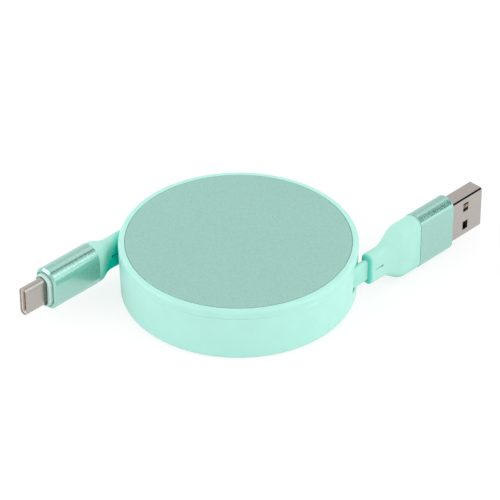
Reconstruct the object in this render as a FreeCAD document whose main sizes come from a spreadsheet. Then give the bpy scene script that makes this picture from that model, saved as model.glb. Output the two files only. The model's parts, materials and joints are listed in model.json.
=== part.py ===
import FreeCAD, Part
import math
import os
import Sketcher
from FreeCAD import Placement, Rotation, Vector

# Retractable charging cable: a flat cable wound on a sprung reel in a round case, with a USB-A plug at
# one side and a USB-C plug at the other. Millimetres, +Z up, origin at the middle of the case's base.
# The USB-A plug points along +X, the USB-C plug along -X, and both are fully pulled in.

# Driving dimensions, in the order in which the sheet lists them.
DIMENSIONS = {
    # case, from the outside in
    "case_radius": 31.35,
    "base_taper": 0.38,
    "wall": 1.8,
    "rim_rounding": 0.8,
    "base_rounding": 0.8,
    "seam_bevel": 0.14,
    "seam_drop": 0.35,
    "lip_width": 0.65,
    "lip_depth": 0.8,
    "lip_clearance": 0.08,
    "rim_width": 1.8,
    "disc_clearance": 0.12,
    "disc_edge": 0.12,
    "adhesive_inset": 0.35,
    # heights, from the base up
    "floor": 1.4,
    "reel_gap": 0.3,
    "spring_room": 2.9,
    "web": 0.7,
    "cable_gap": 0.3,
    "cap_thickness": 0.8,
    "top_gap": 0.3,
    "cover_plate": 1.15,
    "adhesive_film": 0.15,
    "disc_thickness": 0.8,
    "disc_rise": 0.1,
    # cable and its exits
    "lead_width": 6.4,
    "lead_thickness": 1.5,
    "lead_rounding": 0.65,
    "lead_inset": 3.22,
    "roll_gap": 0.05,
    "lead_end_gap": 0.4,
    "exit_side_gap": 0.6,
    "exit_end_gap": 0.85,
    "exit_start": 8.0,
    "hub_gap": 0.2,
    "channel_gap": 0.25,
    "crossing_offset": 6.2,
    # post and screw
    "post_radius": 3.0,
    "boss_radius": 4.6,
    "boss_gap": 0.1,
    "bore_gap": 0.05,
    "pilot_radius": 0.8,
    "pilot_depth": 7.0,
    "screw_radius": 0.76,
    "screw_length": 6.0,
    "screw_head_radius": 1.9,
    "screw_head": 0.65,
    "screw_hole_gap": 0.2,
    # reel
    "flange_gap": 1.2,
    "track_inset": 4.15,
    "track_land": 1.2,
    "ring_wall": 1.0,
    "collar_width": 1.9,
    "collar_height": 0.6,
    "cap_fit": 0.03,
    "spring_strip": 0.25,
    "spring_width": 2.2,
    "spring_inner": 5.6,
    "spring_wall_gap": 0.7,
    "hook_length": 1.5,
    "hook_gap": 0.15,
    # latch ball
    "ball_radius": 1.2,
    "ball_travel": 1.5,
    "ball_side_gap": 0.05,
    "ball_top_gap": 0.25,
    "lane_gap": 0.1,
    "guide_wall": 0.9,
    "guide_rise": 0.1,
    "guide_gap": 0.25,
    # both plugs
    "neck_height": 9.0,
    "neck_thickness": 3.7,
    "neck_rounding": 1.5,
    "boot_end_rounding": 0.5,
    "groove_depth": 0.8,
    "groove_height": 0.7,
    "groove_length": 3.4,
    "groove_back": 0.2,
    "sleeve_wall": 0.5,
    "mould_gap": 0.05,
    "shell_gap": 0.03,
    # USB-A plug
    "a_boot_gap": 0.8,
    "a_neck_length": 5.0,
    "a_shoulder_length": 7.0,
    "a_boot_length": 18.0,
    "a_boot_inset": 0.15,
    "a_sleeve_length": 12.95,
    "a_sleeve_side": 0.8,
    "a_sleeve_end": 2.2,
    "a_sleeve_rounding": 2.8,
    "a_front_wall": 0.9,
    "a_front_rounding": 0.7,
    "a_shell_width": 12.0,
    "a_shell_thickness": 4.5,
    "a_shell_rounding": 0.4,
    "a_shell_sheet": 0.3,
    "a_shell_reach": 11.75,
    "a_shell_tail": 6.2,
    "a_window_long": 2.0,
    "a_window_high": 2.7,
    "a_window_apart": 5.8,
    "a_window_back": 6.3,
    "a_seam_width": 0.22,
    "a_tongue_thickness": 1.9,
    "a_tongue_back": 0.9,
    "a_contact_width": 1.0,
    "a_contact_sheet": 0.15,
    "a_contact_length": 7.6,
    "a_contact_back": 0.7,
    "a_contact_step": 1.0,
    "a_contact_inner": 1.0,
    "a_contact_outer": 3.5,
    # USB-C plug
    "c_boot_gap": 0.2,
    "c_boot_trim": 1.2,
    "c_neck_length": 7.2,
    "c_shoulder_length": 4.6,
    "c_boot_length": 12.9,
    "c_boot_inset": 0.12,
    "c_sleeve_length": 15.8,
    "c_sleeve_side": 0.9,
    "c_sleeve_end": 1.1,
    "c_sleeve_rounding": 3.6,
    "c_front_wall": 0.9,
    "c_front_bevel": 0.35,
    "c_nose_side": 1.57,
    "c_nose_end": 0.73,
    "c_nose_reach": 1.05,
    "c_nose_flange": 1.2,
    "c_nose_rounding": 0.5,
    "c_nose_fit": 0.08,
    "c_shell_width": 8.34,
    "c_shell_thickness": 2.56,
    "c_shell_sheet": 0.25,
    "c_shell_reach": 6.65,
    "c_shell_tail": 7.0,
    "c_shell_rounding": 0.18,
    "c_insert_fit": 0.02,
    "c_insert_back": 0.4,
    "c_mouth_width": 6.7,
    "c_mouth_height": 1.3,
    "c_mouth_depth": 5.5,
    "c_contact_width": 0.25,
    "c_contact_sheet": 0.12,
    "c_contact_length": 4.2,
    "c_contact_back": 0.6,
    "c_contact_pitch": 0.5,
    "c_spring_sheet": 0.2,
    "c_spring_height": 0.9,
}

HALF_TURNS = 8           # half turns of each strand on the hub
SPRING_HALF_TURNS = 12   # half turns of the power spring
NOTCHES = 6              # latch notches round the reel's track
C_CONTACTS = 12          # contact strips in one row of the USB-C plug
LOFT_STEPS = 4           # spans of the boots' shoulders

doc = FreeCAD.newDocument("retractable_cable")
sheet = doc.addObject("Spreadsheet::Sheet", "Sizes")
for row, (alias, number) in enumerate(DIMENSIONS.items(), start=1):
    sheet.set(f"A{row}", alias)
    sheet.set(f"B{row}", str(number))
    sheet.setAlias(f"B{row}", alias)
doc.recompute()


class Size:
    """A length with its number and the sheet expression that gives it."""

    def __init__(self, value, text):
        self.value = value
        self.text = text

    def __add__(self, other):
        other = size(other)
        return Size(self.value + other.value, f"({self.text} + {other.text})")

    def __sub__(self, other):
        other = size(other)
        return Size(self.value - other.value, f"({self.text} - {other.text})")

    def __mul__(self, other):
        other = size(other)
        return Size(self.value * other.value, f"({self.text} * {other.text})")

    def __truediv__(self, other):
        other = size(other)
        return Size(self.value / other.value, f"({self.text} / {other.text})")

    def __neg__(self):
        return Size(-self.value, f"(-1 * {self.text})")

    def root(self):
        return Size(math.sqrt(self.value), f"sqrt({self.text})")


def size(thing):
    """A driving dimension by its name, a plain number, or a Size as it is."""
    if isinstance(thing, Size):
        return thing
    if isinstance(thing, str):
        return Size(DIMENSIONS[thing], f"Sizes.{thing}")
    return Size(float(thing), repr(float(thing)))


ZERO = size(0)


def bind(item, place, length):
    """Tie one property of an object to the sheet."""
    item.setExpression(place, size(length).text)


# Radii and heights that follow from the driving dimensions.
BASE_RADIUS = size("case_radius") - "base_taper"
CAVITY_RADIUS = BASE_RADIUS - "wall"
LEAD_OFFSET = size("case_radius") - "wall" - "lead_inset"
DISC_RADIUS = size("case_radius") - "rim_width"
FLANGE_RADIUS = size("case_radius") - "wall" - "flange_gap"
ROLL_PITCH = size("lead_thickness") + "roll_gap"
ROLL_START = LEAD_OFFSET - ROLL_PITCH * HALF_TURNS
HUB_RADIUS = ROLL_START - size("lead_thickness") / 2 - "hub_gap"
BORE_RADIUS = size("post_radius") + "bore_gap"
LANE_HALF = size("ball_radius") + "lane_gap"
TRACK_RADIUS = FLANGE_RADIUS - "track_inset"
RING_OUTER = TRACK_RADIUS - LANE_HALF - "track_land"
RING_INNER = RING_OUTER - "ring_wall"

WEB_BOTTOM = size("floor") + "spring_room"
CABLE_FLOOR = WEB_BOTTOM + "web"
LEAD_BOTTOM = CABLE_FLOOR + "cable_gap"
LEAD_HEIGHT = LEAD_BOTTOM + size("lead_width") / 2
CABLE_CEILING = LEAD_BOTTOM + "lead_width" + "cable_gap"
CAP_TOP = CABLE_CEILING + "cap_thickness"
COVER_UNDER = CAP_TOP + "top_gap"
COVER_TOP = COVER_UNDER + "cover_plate"
DISC_BOTTOM = COVER_TOP + "adhesive_film"
DISC_TOP = DISC_BOTTOM + "disc_thickness"
CASE_HEIGHT = DISC_TOP - "disc_rise"
SEAM_HEIGHT = COVER_UNDER - "seam_drop"
BALL_HEIGHT = size("floor") + "ball_side_gap" + "ball_radius"
GUIDE_TOP = BALL_HEIGHT + "guide_rise"
FLANGE_BOTTOM = GUIDE_TOP + "guide_gap"
TRACK_TOP = BALL_HEIGHT + "ball_radius" + "ball_top_gap"


def wall_reach(offset, gap=0):
    """Distance along X at which a line beside the axis leaves the case, or a circle a gap outside it."""
    radius = size("case_radius") + gap
    return (radius * radius - offset * offset).root()


# Places along a plug, measured outwards from the case's axis. The USB-A boot starts a gap away from where the
# line of its inner face leaves the case. The USB-C boot lies against the curve of the case, and starts where
# the line of its outer face leaves it, less the trim of its thin end.
NECK_HALF = size("neck_thickness") / 2
BOOT_START = {"a": wall_reach(LEAD_OFFSET - NECK_HALF) + "a_boot_gap",
              "c": wall_reach(LEAD_OFFSET + NECK_HALF, "c_boot_gap") + "c_boot_trim"}
A_SLEEVE_START = BOOT_START["a"] + "a_boot_length"
A_SLEEVE_END = A_SLEEVE_START + "a_sleeve_length"
A_TIP = A_SLEEVE_END + "a_shell_reach"
A_SHELL_START = A_SLEEVE_END - "a_shell_tail"
C_SLEEVE_START = BOOT_START["c"] + "c_boot_length"
C_SLEEVE_END = C_SLEEVE_START + "c_sleeve_length"
C_NOSE_END = C_SLEEVE_END + "c_nose_reach"
C_TIP = C_NOSE_END + "c_shell_reach"
C_SHELL_START = C_NOSE_END - "c_shell_tail"


def around(section, side, end):
    """Thickness and height of a section with a margin on its broad sides and at its ends."""
    thickness, height = section
    return size(thickness) + size(side) * 2, size(height) + size(end) * 2


# Sections of the plugs, thickness and height, each built round the one inside it.
A_SHELL = size("a_shell_thickness"), size("a_shell_width")
C_SHELL = size("c_shell_thickness"), size("c_shell_width")
C_NOSE = around(C_SHELL, "c_nose_side", "c_nose_end")
SLEEVE = {"a": around(A_SHELL, "a_sleeve_side", "a_sleeve_end"),
          "c": around(C_NOSE, "c_sleeve_side", "c_sleeve_end")}


def outer_radius(height):
    """Radius of the drafted case wall at a height."""
    return BASE_RADIUS + size("base_taper") * height / CASE_HEIGHT


class Corner:
    """A corner of an outline. The edge to the next corner is a line, or an arc about a centre."""

    def __init__(self, x, y, centre=None, turn=1):
        self.x = size(x)
        self.y = size(y)
        self.centre = centre and (size(centre[0]), size(centre[1]))
        self.turn = turn

    def point(self):
        return Vector(self.x.value, self.y.value, 0)


def lines(*points):
    """Corners of a polygon."""
    return [Corner(x, y) for x, y in points]


def rectangle(x0, y0, x1, y1):
    return lines((x0, y0), (x1, y0), (x1, y1), (x0, y1))


def rounded_rectangle(width, height, rounding):
    """Rectangle about the sketch's origin with round corners."""
    x, y, r = size(width) / 2, size(height) / 2, size(rounding)
    return [
        Corner(-x + r, -y), Corner(x - r, -y, (x - r, -y + r)),
        Corner(x, -y + r), Corner(x, y - r, (x - r, y - r)),
        Corner(x - r, y), Corner(-x + r, y, (-x + r, y - r)),
        Corner(-x, y - r), Corner(-x, -y + r, (-x + r, -y + r)),
    ]


def upright_stadium(width, height):
    """Stadium about the sketch's origin, longer along the sketch's y axis."""
    r = size(width) / 2
    y = size(height) / 2 - r
    return [Corner(r, -y), Corner(r, y, (ZERO, y)), Corner(-r, y), Corner(-r, -y, (ZERO, -y))]


def radial_slot(x0, x1, half_width):
    """Slot along the sketch's x axis with round ends about x0 and x1."""
    r = size(half_width)
    return [Corner(x0, -r), Corner(x1, -r, (x1, ZERO)), Corner(x1, r), Corner(x0, r, (x0, ZERO))]


def full_circle(radius, x, y):
    """Circle as two half arcs."""
    r, x, y = size(radius), size(x), size(y)
    return [Corner(x - r, y, (x, y)), Corner(x + r, y, (x, y))]


def draw(sketch, *outlines):
    """Draw closed outlines whose corners are all tied to the sheet."""
    constraints = []
    bound = []

    def place(kind, index, spot, length):
        bound.append((sketch.ConstraintCount + len(constraints), length))
        constraints.append(Sketcher.Constraint(kind, -1, 1, index, spot, length.value))

    for corners in outlines:
        ends = []
        for corner, following in zip(corners, corners[1:] + corners[:1]):
            start, end = corner.point(), following.point()
            if corner.centre is None:
                index = sketch.addGeometry(Part.LineSegment(start, end), False)
                ends.append((index, 1, 2))
            else:
                middle = Vector(corner.centre[0].value, corner.centre[1].value, 0)
                first, last = (start, end) if corner.turn > 0 else (end, start)
                a0 = math.atan2(first.y - middle.y, first.x - middle.x)
                a1 = math.atan2(last.y - middle.y, last.x - middle.x)
                if a1 <= a0:
                    a1 += 2 * math.pi
                circle = Part.Circle(middle, Vector(0, 0, 1), (start - middle).Length)
                index = sketch.addGeometry(Part.ArcOfCircle(circle, a0, a1), False)
                ends.append((index, 1, 2) if corner.turn > 0 else (index, 2, 1))
                # The centre can only slide along the bisector of the arc's chord, so one place fixes it.
                chord = end - start
                if abs(chord.y) > abs(chord.x):
                    place("DistanceX", index, 3, corner.centre[0])
                else:
                    place("DistanceY", index, 3, corner.centre[1])
        for number, (index, start_spot, end_spot) in enumerate(ends):
            next_index, next_spot, _ = ends[(number + 1) % len(ends)]
            constraints.append(Sketcher.Constraint("Coincident", index, end_spot, next_index, next_spot))
            place("DistanceX", index, start_spot, corners[number].x)
            place("DistanceY", index, start_spot, corners[number].y)
    sketch.addConstraint(constraints)
    for number, length in bound:
        bind(sketch, f"Constraints[{number}]", length)


def origin_feature(body, role):
    return next(item for item in body.Origin.OriginFeatures if item.Role == role)


def new_body(label):
    body = doc.addObject("PartDesign::Body", label)
    body.Label = label
    return body


def new_sketch(body, name, plane, offset, *outlines):
    """Sketch on one of the body's own planes, moved along the plane's normal."""
    sketch = body.newObject("Sketcher::SketchObject", f"{body.Name}_{name}")
    sketch.AttachmentSupport = (origin_feature(body, plane), "")
    sketch.MapMode = "FlatFace"
    bind(sketch, "AttachmentOffset.Base.z", offset)
    draw(sketch, *outlines)
    return sketch


def pad(body, name, sketch, length, backwards=False):
    feature = body.newObject("PartDesign::Pad", f"{body.Name}_{name}")
    feature.Profile = sketch
    feature.Reversed = backwards
    bind(feature, "Length", length)
    return feature


def volume_of(body):
    doc.recompute()
    return body.Shape.Volume


def cut_checked(body, before):
    """Stop if the last cut took nothing away."""
    if volume_of(body) > before - 1e-6:
        raise RuntimeError(f"a cut in {body.Label} removed nothing")


def pocket(body, name, sketch, length, along_normal=True):
    before = volume_of(body)
    feature = body.newObject("PartDesign::Pocket", f"{body.Name}_{name}")
    feature.Profile = sketch
    feature.Reversed = along_normal
    bind(feature, "Length", length)
    cut_checked(body, before)
    return feature


def revolve(body, name, sketch):
    feature = body.newObject("PartDesign::Revolution", f"{body.Name}_{name}")
    feature.Profile = sketch
    feature.ReferenceAxis = (sketch, ["V_Axis"])
    feature.Angle = 360
    return feature


def polar(body, name, feature, count):
    pattern = body.newObject("PartDesign::PolarPattern", f"{body.Name}_{name}")
    pattern.Originals = [feature]
    pattern.Axis = (origin_feature(body, "Z_Axis"), [""])
    pattern.Angle = 360
    pattern.Occurrences = count
    body.Tip = pattern
    return pattern


def edge_names(body, chosen):
    """Names of the edges of a body's tip for which chosen(edge) holds."""
    doc.recompute()
    edges = body.Tip.Shape.Edges
    return [f"Edge{number}" for number, edge in enumerate(edges, start=1) if chosen(edge)]


def at_x(place, tolerance=1e-4):
    """Test for an edge that lies in the plane x = place."""
    def test(edge):
        box = edge.BoundBox
        return abs(box.XMin - place.value) < tolerance and abs(box.XMax - place.value) < tolerance
    return test


def dress(body, kind, name, chosen, length):
    """Fillet or chamfer on the chosen edges of the body's tip."""
    names = edge_names(body, chosen)
    feature = body.newObject(f"PartDesign::{kind}", f"{body.Name}_{name}")
    feature.Base = (feature.BaseFeature, names)
    bind(feature, "Radius" if kind == "Fillet" else "Size", length)
    return feature


def place_plug_piece(body, side):
    """Put a piece drawn along +X from the case's axis on its own side of the case."""
    turn = 0 if side == "a" else 180
    body.Placement = Placement(Vector(0, 0, 0), Rotation(Vector(0, 0, 1), turn))
    bind(body, "Placement.Base.y", -LEAD_OFFSET if side == "a" else LEAD_OFFSET)
    bind(body, "Placement.Base.z", LEAD_HEIGHT)


def make_lower_case():
    body = new_body("lower_case")
    r = size("base_rounding")
    seam_outer = outer_radius(SEAM_HEIGHT)
    seam_inner = seam_outer - "wall"
    bevel = size("seam_bevel")
    profile = new_sketch(body, "section", "XZ_Plane", ZERO, [
        Corner(0, 0),
        Corner(BASE_RADIUS - r, 0, (BASE_RADIUS - r, r)),
        Corner(BASE_RADIUS, r),
        Corner(outer_radius(SEAM_HEIGHT - bevel), SEAM_HEIGHT - bevel),
        Corner(seam_outer - bevel, SEAM_HEIGHT),
        Corner(seam_inner, SEAM_HEIGHT),
        Corner(CAVITY_RADIUS, "floor"),
        Corner("boss_radius", "floor"),
        Corner("boss_radius", WEB_BOTTOM - "boss_gap"),
        Corner("post_radius", WEB_BOTTOM - "boss_gap"),
        Corner("post_radius", COVER_UNDER),
        Corner("pilot_radius", COVER_UNDER),
        Corner("pilot_radius", COVER_UNDER - "pilot_depth"),
        Corner(0, COVER_UNDER - "pilot_depth"),
    ])
    revolve(body, "cup", profile)
    guide_half = size("ball_radius") + "ball_side_gap"
    guide_in = TRACK_RADIUS - guide_half - "guide_wall"
    guide_out = TRACK_RADIUS + "ball_travel" + guide_half + "guide_wall"
    side = guide_half + "guide_wall"
    guide = new_sketch(body, "guide", "XY_Plane", size("floor"),
                       rectangle(guide_in, -side, guide_out, side),
                       radial_slot(TRACK_RADIUS, TRACK_RADIUS + "ball_travel", guide_half))
    pad(body, "ball_guide", guide, GUIDE_TOP - "floor")
    exit_half = size("lead_thickness") / 2 + "exit_side_gap"
    exit_bottom = LEAD_BOTTOM - "exit_end_gap"
    exit_cut = new_sketch(body, "exit", "XY_Plane", exit_bottom,
                          rectangle("exit_start", -LEAD_OFFSET - exit_half,
                                    size("case_radius") + "wall", -LEAD_OFFSET + exit_half))
    first_exit = pocket(body, "cable_exit", exit_cut, SEAM_HEIGHT - exit_bottom)
    polar(body, "cable_exits", first_exit, 2)
    hook_half = size("spring_strip") / 2 + "hook_gap"
    slit = new_sketch(body, "slit", "XY_Plane", size("floor"),
                      rectangle(-hook_half, -size("boss_radius") - "hook_gap", hook_half,
                                -size("spring_inner") + "hook_length" + "hook_gap" + "spring_strip"))
    pocket(body, "spring_slit", slit, WEB_BOTTOM - "floor")
    return body


def make_upper_cover():
    body = new_body("upper_cover")
    seam_outer = outer_radius(SEAM_HEIGHT)
    lip_outer = seam_outer - "wall" - "lip_clearance"
    lip_inner = lip_outer - "lip_width"
    lip_bottom = SEAM_HEIGHT - "lip_depth"
    recess = DISC_RADIUS + "disc_clearance"
    hole = size("screw_radius") + "screw_hole_gap"
    counterbore = size("screw_head_radius") + "screw_hole_gap"
    head_seat = COVER_TOP - "screw_head"
    r = size("rim_rounding")
    bevel = size("seam_bevel")
    top_radius = size("case_radius")
    profile = new_sketch(body, "section", "XZ_Plane", ZERO, [
        Corner(hole, COVER_UNDER),
        Corner(lip_inner, COVER_UNDER),
        Corner(lip_inner, lip_bottom),
        Corner(lip_outer, lip_bottom),
        Corner(lip_outer, SEAM_HEIGHT),
        Corner(seam_outer - bevel, SEAM_HEIGHT),
        Corner(outer_radius(SEAM_HEIGHT + bevel), SEAM_HEIGHT + bevel),
        Corner(top_radius, CASE_HEIGHT - r, (top_radius - r, CASE_HEIGHT - r)),
        Corner(top_radius - r, CASE_HEIGHT),
        Corner(recess, CASE_HEIGHT),
        Corner(recess, COVER_TOP),
        Corner(counterbore, COVER_TOP),
        Corner(counterbore, head_seat),
        Corner(hole, head_seat),
    ])
    revolve(body, "cover", profile)
    return body


def make_top_disc():
    body = new_body("top_disc")
    edge = size("disc_edge")
    profile = new_sketch(body, "section", "XZ_Plane", ZERO, [
        Corner(0, DISC_BOTTOM),
        Corner(DISC_RADIUS, DISC_BOTTOM),
        Corner(DISC_RADIUS, DISC_TOP - edge, (DISC_RADIUS - edge, DISC_TOP - edge)),
        Corner(DISC_RADIUS - edge, DISC_TOP),
        Corner(0, DISC_TOP),
    ])
    revolve(body, "disc", profile)
    return body


def make_disc_adhesive():
    film = doc.addObject("Part::Cylinder", "disc_adhesive")
    bind(film, "Radius", DISC_RADIUS - "adhesive_inset")
    bind(film, "Height", "adhesive_film")
    bind(film, "Placement.Base.z", COVER_TOP)
    return film


def make_centre_screw():
    body = new_body("centre_screw")
    head_seat = COVER_TOP - "screw_head"
    tip = head_seat - "screw_length"
    profile = new_sketch(body, "section", "XZ_Plane", ZERO, lines(
        (0, tip),
        (size("screw_radius") / 2, tip),
        ("screw_radius", tip + size("screw_radius") / 2),
        ("screw_radius", head_seat),
        ("screw_head_radius", head_seat),
        ("screw_head_radius", COVER_TOP - size("screw_head") / 2),
        (size("screw_head_radius") - size("screw_head") / 2, COVER_TOP),
        (0, COVER_TOP),
    ))
    revolve(body, "screw", profile)
    return body


def cable_path():
    """Arcs of the wound cable from the USB-C end to the USB-A end.

    Each arc is (start y, centre y, end y, turn). All of them start and end on the Y axis and run along X
    there, so they meet smoothly: half turns about two centres half a pitch either side of the axis, and
    between the strands two arcs that pass the post and turn back.
    """
    shift = ROLL_PITCH / 2
    inward = []
    start = LEAD_OFFSET
    for number in range(HALF_TURNS):
        on_right = number % 2 == 0
        centre = shift if on_right else -shift
        end = centre * 2 - start
        inward.append((start, centre, end, -1))
        start = end
    crossing = -size("crossing_offset")
    middle = [
        (start, (start + crossing) / 2, crossing, -1),
        (crossing, (crossing - start) / 2, -start, 1),
    ]
    outward = [(-end, -centre, -first, 1) for first, centre, end, _ in reversed(inward)]
    return inward + middle + outward


def band(path, thickness):
    """Closed outline of a strip of the given thickness along arcs that meet on the Y axis.

    At each end of an arc the strip runs along +X or -X. Its left side is walked out and its right side
    walked back.
    """
    half = size(thickness) / 2
    left = []
    right = []
    for start, centre, end, turn in path:
        # A strip that turns left has its centre on the left, so its left side is nearer to the centre.
        start_left = start - half if (start.value - centre.value) * turn > 0 else start + half
        start_right = start + half if (start.value - centre.value) * turn > 0 else start - half
        end_left = end - half if (end.value - centre.value) * turn > 0 else end + half
        end_right = end + half if (end.value - centre.value) * turn > 0 else end - half
        left.append((start_left, centre, end_left, turn))
        right.append((end_right, centre, start_right, -turn))
    outline = []
    for side in (left, right[::-1]):
        for first, centre, _, turn in side:
            outline.append(Corner(0, first, (ZERO, centre), turn))
        outline.append(Corner(0, side[-1][2]))
    return outline


def make_cable_roll():
    body = new_body("cable_roll")
    outline = new_sketch(body, "outline", "XY_Plane", LEAD_BOTTOM, band(cable_path(), "lead_thickness"))
    pad(body, "winding", outline, "lead_width")
    return body


def make_reel_drum():
    body = new_body("reel_drum")
    collar = BORE_RADIUS + "collar_width"
    profile = new_sketch(body, "section", "XZ_Plane", ZERO, lines(
        (BORE_RADIUS, WEB_BOTTOM),
        (RING_INNER, WEB_BOTTOM),
        (RING_INNER, size("floor") + "reel_gap"),
        (RING_OUTER, size("floor") + "reel_gap"),
        (RING_OUTER, FLANGE_BOTTOM),
        (TRACK_RADIUS - LANE_HALF, FLANGE_BOTTOM),
        (TRACK_RADIUS - LANE_HALF, TRACK_TOP),
        (TRACK_RADIUS + LANE_HALF, TRACK_TOP),
        (TRACK_RADIUS + LANE_HALF, FLANGE_BOTTOM),
        (FLANGE_RADIUS, FLANGE_BOTTOM),
        (FLANGE_RADIUS, CABLE_FLOOR),
        (HUB_RADIUS, CABLE_FLOOR),
        (HUB_RADIUS, CABLE_CEILING),
        (collar, CABLE_CEILING),
        (collar, CABLE_CEILING + "collar_height"),
        (BORE_RADIUS, CABLE_CEILING + "collar_height"),
    ))
    revolve(body, "drum", profile)
    crossing = cable_path()[HALF_TURNS:HALF_TURNS + 2]
    channel = new_sketch(body, "channel", "XY_Plane", CABLE_FLOOR,
                         band(crossing, size("lead_thickness") + size("channel_gap") * 2))
    pocket(body, "cable_channel", channel, CABLE_CEILING - CABLE_FLOOR)
    notch = new_sketch(body, "notch", "XY_Plane", FLANGE_BOTTOM,
                       radial_slot(TRACK_RADIUS, TRACK_RADIUS + "ball_travel", LANE_HALF))
    first_notch = pocket(body, "latch_notch", notch, TRACK_TOP - FLANGE_BOTTOM)
    polar(body, "latch_notches", first_notch, NOTCHES)
    hook_half = size("spring_strip") / 2 + "hook_gap"
    slit = new_sketch(body, "slit", "XY_Plane", size("floor") + "reel_gap",
                      rectangle(-hook_half, RING_INNER - "ring_wall", hook_half, RING_OUTER + "ring_wall"))
    pocket(body, "spring_slit", slit, WEB_BOTTOM - "floor" - "reel_gap")
    return body


def make_reel_cap():
    body = new_body("reel_cap")
    hole = BORE_RADIUS + "collar_width" + "cap_fit"
    profile = new_sketch(body, "section", "XZ_Plane", ZERO,
                         rectangle(hole, CABLE_CEILING, FLANGE_RADIUS, CAP_TOP))
    revolve(body, "cap", profile)
    return body


def make_power_spring():
    """Flat spiral spring, hooked into the post at its inner end and into the drum's ring at its outer."""
    body = new_body("power_spring")
    inner = size("spring_inner")
    outer = RING_INNER - "spring_wall_gap"
    step = (outer - inner) / SPRING_HALF_TURNS
    path = []
    start = -inner
    for number in range(SPRING_HALF_TURNS):
        centre = step / 2 if number % 2 == 0 else -step / 2
        end = centre * 2 - start
        path.append((start, centre, end, 1))
        start = end
    strip = new_sketch(body, "strip", "XY_Plane", size("floor") + "reel_gap", band(path, "spring_strip"))
    pad(body, "coil", strip, "spring_width")
    half = size("spring_strip") / 2
    hooks = new_sketch(body, "hooks", "XY_Plane", size("floor") + "reel_gap",
                       rectangle(-half, -inner - half, half, -inner + "hook_length"),
                       rectangle(-half, start - half, half, start + "hook_length"))
    pad(body, "end_hooks", hooks, "spring_width")
    return body


def make_latch_ball():
    ball = doc.addObject("Part::Sphere", "latch_ball")
    bind(ball, "Radius", "ball_radius")
    bind(ball, "Placement.Base.x", TRACK_RADIUS)
    bind(ball, "Placement.Base.z", BALL_HEIGHT)
    return ball


def lead_section(gap=0):
    grow = size(gap) * 2
    return rounded_rectangle(size("lead_thickness") + grow, size("lead_width") + grow,
                             size("lead_rounding") + gap)


def make_lead(side, end):
    body = new_body(f"usb_{side}_lead")
    section = new_sketch(body, "section", "YZ_Plane", size("lead_end_gap"), lead_section())
    pad(body, "flat_lead", section, end - "lead_end_gap")
    place_plug_piece(body, side)
    return body


def smooth_step(share):
    return share * share * (3 - 2 * share)


def make_boot(side):
    """Soft boot: a slim neck that swells over a shoulder almost to the section of the sleeve."""
    body = new_body(f"usb_{side}_boot")
    inset = -size(f"{side}_boot_inset")
    neck = size("neck_thickness"), size("neck_height"), size("neck_rounding")
    full = *around(SLEEVE[side], inset, inset), size(f"{side}_sleeve_rounding") + inset
    start = BOOT_START[side]
    shoulder_start = start + f"{side}_neck_length"
    shoulder = size(f"{side}_shoulder_length")
    sections = []
    for step in range(LOFT_STEPS + 1):
        share = smooth_step(step / LOFT_STEPS)
        grown = [low + (high - low) * share for low, high in zip(neck, full)]
        place = shoulder_start + shoulder * (step / LOFT_STEPS)
        sections.append(new_sketch(body, f"section_{step}", "YZ_Plane", place, rounded_rectangle(*grown)))
    pad(body, "neck", sections[0], f"{side}_neck_length", backwards=True)
    swell = body.newObject("PartDesign::AdditiveLoft", f"{body.Name}_shoulder")
    swell.Profile = sections[0]
    swell.Sections = sections[1:]
    full_length = start + f"{side}_boot_length" - shoulder_start - shoulder
    pad(body, "collar", sections[-1], full_length)
    if side == "a":
        dress(body, "Fillet", "end_rounding", at_x(start), "boot_end_rounding")
    else:
        scoop_end(body)
    bore = new_sketch(body, "bore", "YZ_Plane", start, lead_section())
    pocket(body, "lead_bore", bore, f"{side}_boot_length")
    cut_relief_grooves(body, shoulder_start)
    place_plug_piece(body, side)
    return body


def scoop_end(body):
    """Hollow a boot's end to the curve of the case, which is a gap away."""
    curve = new_sketch(body, "scoop", "XY_Plane", -size("neck_height") / 2,
                       full_circle(size("case_radius") + "c_boot_gap", 0, LEAD_OFFSET))
    pocket(body, "case_scoop", curve, "neck_height")


def cut_relief_grooves(body, neck_end):
    """A short groove on each broad face of the neck, deepest at its outer end."""
    face = NECK_HALF
    last = neck_end - "groove_back"
    first = last - "groove_length"
    clear = face + "groove_depth"
    deep = face - "groove_depth"
    wedges = new_sketch(body, "grooves", "XY_Plane", -size("groove_height") / 2,
                        lines((first, face), (last, deep), (last, clear), (first, clear)),
                        lines((first, -face), (first, -clear), (last, -clear), (last, -deep)))
    pocket(body, "relief_grooves", wedges, "groove_height")


def cavity_section(side, gap=0):
    """Inside of a sleeve, less a gap all round."""
    less = size("sleeve_wall") + gap
    return rounded_rectangle(*around(SLEEVE[side], -less, -less), size(f"{side}_sleeve_rounding") - less)


def make_sleeve(side, start, opening, front_dress, front_size):
    """Aluminium sleeve: a tube with a front wall that the opening goes through."""
    body = new_body(f"usb_{side}_sleeve")
    length = size(f"{side}_sleeve_length")
    front_wall = size(f"{side}_front_wall")
    outside = new_sketch(body, "outside", "YZ_Plane", start,
                         rounded_rectangle(*SLEEVE[side], f"{side}_sleeve_rounding"))
    pad(body, "tube", outside, length)
    dress(body, front_dress, "front_edge", at_x(start + length), front_size)
    inside = new_sketch(body, "inside", "YZ_Plane", start, cavity_section(side))
    pocket(body, "cavity", inside, length - front_wall)
    mouth = new_sketch(body, "mouth", "YZ_Plane", start + length - front_wall, opening)
    pocket(body, "front_opening", mouth, front_wall)
    place_plug_piece(body, side)
    return body


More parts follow.
